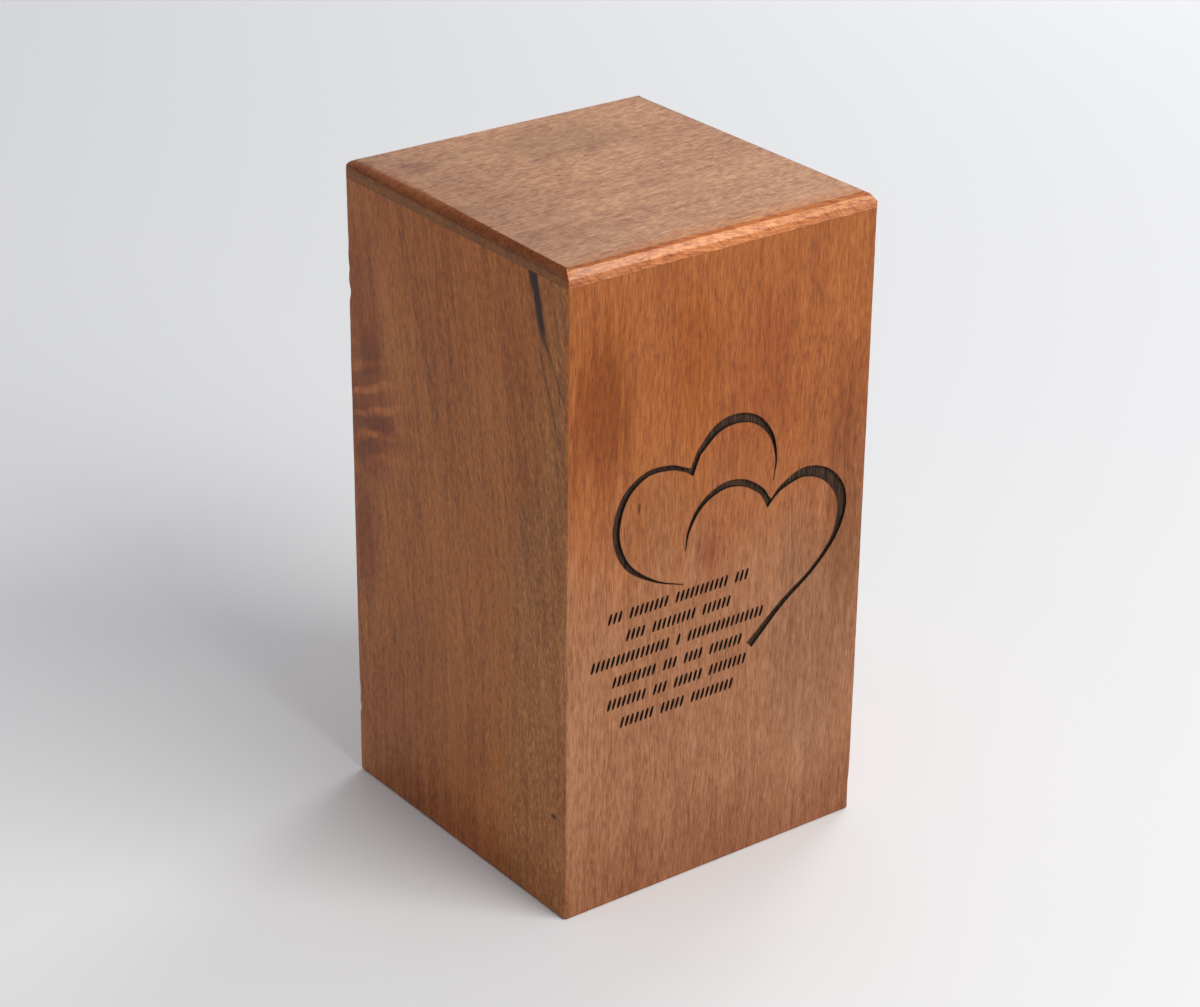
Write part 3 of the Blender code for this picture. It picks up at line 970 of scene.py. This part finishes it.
def lid_ring(level):
    """One ring of points around the lid at a level of its profile."""
    ring = []
    for side in range(4):
        start = Vector(lid_corner(side))
        end = Vector(lid_corner((side + 1) % 4))
        along = (end - start) / 2
        outward = Vector((along.y, -along.x))
        corner = Vector((start.x * WIDTH / 2, start.y * DEPTH / 2))
        length = WIDTH if side % 2 == 0 else DEPTH
        inset_here, height_here = lid_profile(side, 0.0)[level]
        inset_before, height_before = lid_profile((side - 1) % 4, 1.0)[level]
        inset_after, _ = lid_profile((side + 1) % 4, 0.0)[level]
        first = inset_before + LID_CORNER_RADIUS
        last = length - inset_after - LID_CORNER_RADIUS
        # Corner arc, from the side before to this one
        centre = corner + along * first - outward * (inset_here + LID_CORNER_RADIUS)
        for step in range(LID_CORNER_STEPS + 1):
            share = step / LID_CORNER_STEPS
            angle = math.pi / 2 * share
            direction = -along * math.cos(angle) + outward * math.sin(angle)
            point = centre + direction * LID_CORNER_RADIUS
            ring.append(Vector((point.x, point.y, between((height_before, height_here), share))))
        for step in range(1, LID_SIDE_STEPS):
            share = step / LID_SIDE_STEPS
            inset, height = lid_profile(side, share)[level]
            point = corner + along * between((first, last), share) - outward * inset
            ring.append(Vector((point.x, point.y, height)))
    return ring


def lid_mesh():
    """The lid: tongue, strip, uneven round-over with its quirk, and flat top."""
    rings = [lid_ring(level) for level in range(len(lid_profile(0, 0.0)))]
    scale_x = (WIDTH / 2 - TONGUE_INSET) / (WIDTH / 2)
    scale_y = (DEPTH / 2 - TONGUE_INSET) / (DEPTH / 2)
    tongue = [[Vector((point.x * scale_x, point.y * scale_y, height)) for point in rings[0]]
              for height in (TONGUE_BOTTOM, WALL_HEIGHT + JOINT)]
    rings = tongue + rings
    bm = bmesh.new()
    loops = [[bm.verts.new(point) for point in ring] for ring in rings]
    for lower, upper in zip(loops, loops[1:]):
        for i in range(len(lower)):
            after = (i + 1) % len(lower)
            bm.faces.new((lower[i], lower[after], upper[after], upper[i]))
    bm.faces.new(reversed(loops[0]))
    bm.faces.new(loops[-1])
    bmesh.ops.recalc_face_normals(bm, faces=bm.faces)
    mesh = bpy.data.meshes.new("lid_top")
    bm.to_mesh(mesh)
    bm.free()
    return mesh


def wall_matrix(x, y, turn):
    """Where a board's own axes lie: the middle of its outer face's foot, and its turn in degrees."""
    return Matrix.Translation((x, y, 0.0)) @ Matrix.Rotation(math.radians(turn), 4, "Z")


def dress_boards():
    """Replaces the walls and the lid, and gives the base board its wood."""
    front_wood = wood(
        "front_wood_grain", (113, 66, 37), (149, 97, 62), (171, 122, 90), along=(0.02, 0.03, 1.0),
        figure=front_figure, fine=1.6, length=6.5, mottled=0.65, pores=0.5, finish=scorch)
    left_wood = wood(
        "left_wood_grain", (134, 71, 28), (180, 105, 46), (204, 129, 66), along=(0.02, 0.05, 1.0),
        seed=(310.0, 40.0, 90.0), figure=left_figure, fine=1.95, length=3.2, streaks=1.3,
        mottled=0.5, bow=0.00043)
    right_wood = wood(
        "right_wood_grain", (130, 74, 44), (172, 108, 72), (198, 138, 102), along=(0.05, 0.04, 1.0),
        seed=(700.0, 20.0, 400.0), fine=1.2, streaks=1.4, mottled=0.6)
    back_wood = wood(
        "back_wood_grain", (126, 72, 44), (168, 104, 70), (192, 132, 96), along=(-0.03, 0.04, 1.0),
        seed=(1200.0, 60.0, 700.0), broad=1.3, fine=1.2, streaks=1.4, mottled=0.6)
    lid_wood = wood(
        "lid_wood_grain", (151, 98, 69), (197, 141, 102), (219, 170, 129), along=(1.0, 0.06, -0.16),
        across=(0, 1, 0), seed=(1900.0, 30.0, 0.0), figure=lid_figure, fine=2.1, length=9.0,
        roughness=0.36, sheen=0.3, finish=lid_finish)
    base_wood = wood(
        "base_wood_grain", (132, 86, 58), (172, 122, 86), (196, 150, 112), along=(0.04, 1.0, 0.02),
        seed=(2500.0, 80.0, 0.0), roughness=0.6)
    half_width, half_depth = WIDTH / 2, DEPTH / 2
    piece("engraved_front", board_mesh("engraved_front", WIDTH, FRONT_LEFT, FRONT_RIGHT, engrave),
          front_wood, "front_board", wall_matrix(0.0, -half_depth, 0))
    piece("right_wall", board_mesh("right_wall", DEPTH, FRONT_RIGHT, BACK_RIGHT),
          right_wood, "right_board", wall_matrix(half_width, 0.0, 90))
    piece("back_wall", board_mesh("back_wall", WIDTH, BACK_RIGHT, BACK_LEFT),
          back_wood, "back_board", wall_matrix(0.0, half_depth, 180))
    piece("left_wall", board_mesh("left_wall", DEPTH, BACK_LEFT, FRONT_LEFT),
          left_wood, "left_board", wall_matrix(-half_width, 0.0, -90))
    piece("routed_lid", lid_mesh(), lid_wood, "lid")
    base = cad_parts["base_board"]
    base.data.materials.clear()
    base.data.materials.append(base_wood)


def make_floor():
    """A plain pale floor."""
    bpy.ops.mesh.primitive_plane_add(size=FLOOR_SIZE, location=(0.0, 0.0, 0.0))
    floor = bpy.context.object
    floor.name = "floor"
    shades = Shades("pale_floor")
    shades.feed(shades.shader.inputs["Base Color"], srgb(*FLOOR_TINT))
    shades.feed(shades.shader.inputs["Roughness"], FLOOR_ROUGHNESS)
    floor.data.materials.append(shades.material)


def area_light(name, place, aim, size, power, colour):
    """A rectangular light at a place, turned towards its aim."""
    light = bpy.data.lights.new(name, "AREA")
    light.shape = "RECTANGLE"
    light.size, light.size_y = size
    light.energy = power
    light.color = colour
    item = bpy.data.objects.new(name, light)
    bpy.context.scene.collection.objects.link(item)
    item.location = place
    item.rotation_euler = (Vector(aim) - Vector(place)).to_track_quat("-Z", "Y").to_euler()


def make_light():
    """A large soft key from the front right, two glows from behind and a pale surrounding."""
    for light in LIGHTS:
        area_light(*light)
    world = bpy.data.worlds.new("studio")
    bpy.context.scene.world = world
    world.use_nodes = True
    tree = world.node_tree
    background = tree.nodes["Background"]
    background.inputs["Color"].default_value = WORLD_COLOUR
    direction = tree.nodes.new("ShaderNodeTexCoord")
    toward = tree.nodes.new("ShaderNodeVectorMath")
    toward.operation = "DOT_PRODUCT"
    toward.inputs[1].default_value = WORLD_BRIGHT_SIDE
    ramp = tree.nodes.new("ShaderNodeMapRange")
    limits = (-WORLD_SPAN, WORLD_SPAN, *WORLD_STRENGTH)
    for socket, value in zip(("From Min", "From Max", "To Min", "To Max"), limits):
        ramp.inputs[socket].default_value = value
    tree.links.new(direction.outputs["Generated"], toward.inputs[0])
    tree.links.new(toward.outputs["Value"], ramp.inputs["Value"])
    tree.links.new(ramp.outputs[0], background.inputs["Strength"])


def make_camera():
    """The camera at the photo's place and angle."""
    data = bpy.data.cameras.new("camera")
    data.sensor_fit = "HORIZONTAL"
    data.sensor_width = SENSOR_MM
    data.lens = LENS_MM
    data.clip_start = NEAREST_SEEN
    camera = bpy.data.objects.new("camera", data)
    bpy.context.scene.collection.objects.link(camera)
    turn = Matrix.Rotation(math.radians(-HEADING_DEG), 4, "Z")
    tilt = Matrix.Rotation(math.radians(90 - LOOK_DOWN_DEG), 4, "X")
    roll = Matrix.Rotation(math.radians(ROLL_DEG), 4, "Z")
    camera.matrix_world = Matrix.Translation(EYE) @ turn @ tilt @ roll
    bpy.context.scene.camera = camera


make_camera()
make_light()
make_floor()
dress_boards()
bpy.context.scene.view_settings.view_transform = "Standard"
